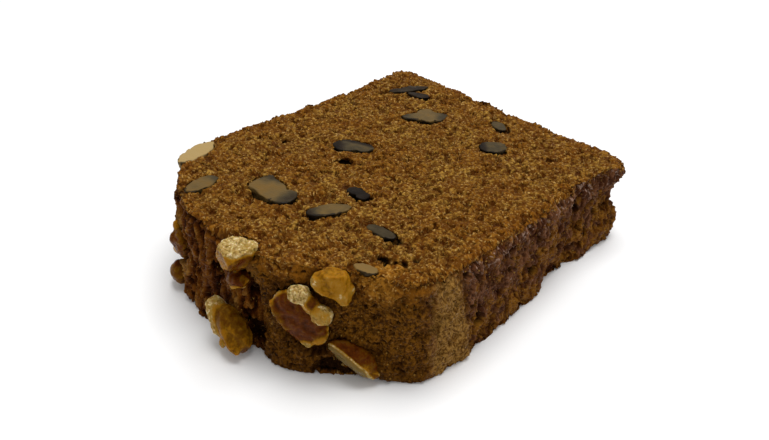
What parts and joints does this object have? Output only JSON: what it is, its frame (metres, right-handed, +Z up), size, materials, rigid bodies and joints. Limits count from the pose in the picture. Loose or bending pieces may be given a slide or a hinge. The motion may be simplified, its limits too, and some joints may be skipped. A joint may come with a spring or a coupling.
{
  "type": "banana bread slice",
  "caption": "Slice of banana bread lying on its cut face, with a domed crown crust, straight pan sides and walnut pieces in the crust and the crumb.",
  "frame": {"origin": "middle of the slice's underside, at the height of the surface it lies on", "axes": "+X across the loaf, +Y from the domed crown crust towards the base crust, +Z up through the slice from the lower cut face to the upper one"},
  "size_m": [0.0834, 0.1064, 0.0307],
  "materials": {
    "crumb": "moist open golden-brown cake crumb, with darker baked crust on the crown and the pan sides",
    "walnut_skin": "roasted walnut pieces, amber and reddish-brown skin with cream broken edges, slightly glossy",
    "walnut_cut": "walnut cut through by the knife, greyish ivory with a thin dark blue-grey skin at the rim"
  },
  "bodies": {
    "root": {"crumb": "crumb", "crust_walnut_1": "walnut_skin", "crust_walnut_2": "walnut_skin", "crust_walnut_3": "walnut_skin", "crust_walnut_4": "walnut_skin", "crust_walnut_5": "walnut_skin", "crust_walnut_6": "walnut_skin", "crust_walnut_7": "walnut_skin", "crust_walnut_8": "walnut_skin", "upper_walnut_1": "walnut_cut", "upper_walnut_2": "walnut_cut", "upper_walnut_3": "walnut_cut", "upper_walnut_4": "walnut_cut", "upper_walnut_5": "walnut_cut", "upper_walnut_6": "walnut_cut", "upper_walnut_7": "walnut_cut", "upper_walnut_8": "walnut_cut", "upper_walnut_9": "walnut_cut", "upper_walnut_10": "walnut_cut", "upper_walnut_11": "walnut_cut", "upper_walnut_12": "walnut_cut", "upper_walnut_13": "walnut_cut", "lower_walnut_1": "walnut_cut", "lower_walnut_2": "walnut_cut", "lower_walnut_3": "walnut_cut", "lower_walnut_4": "walnut_cut", "lower_walnut_5": "walnut_cut"}
  },
  "joints": []
}
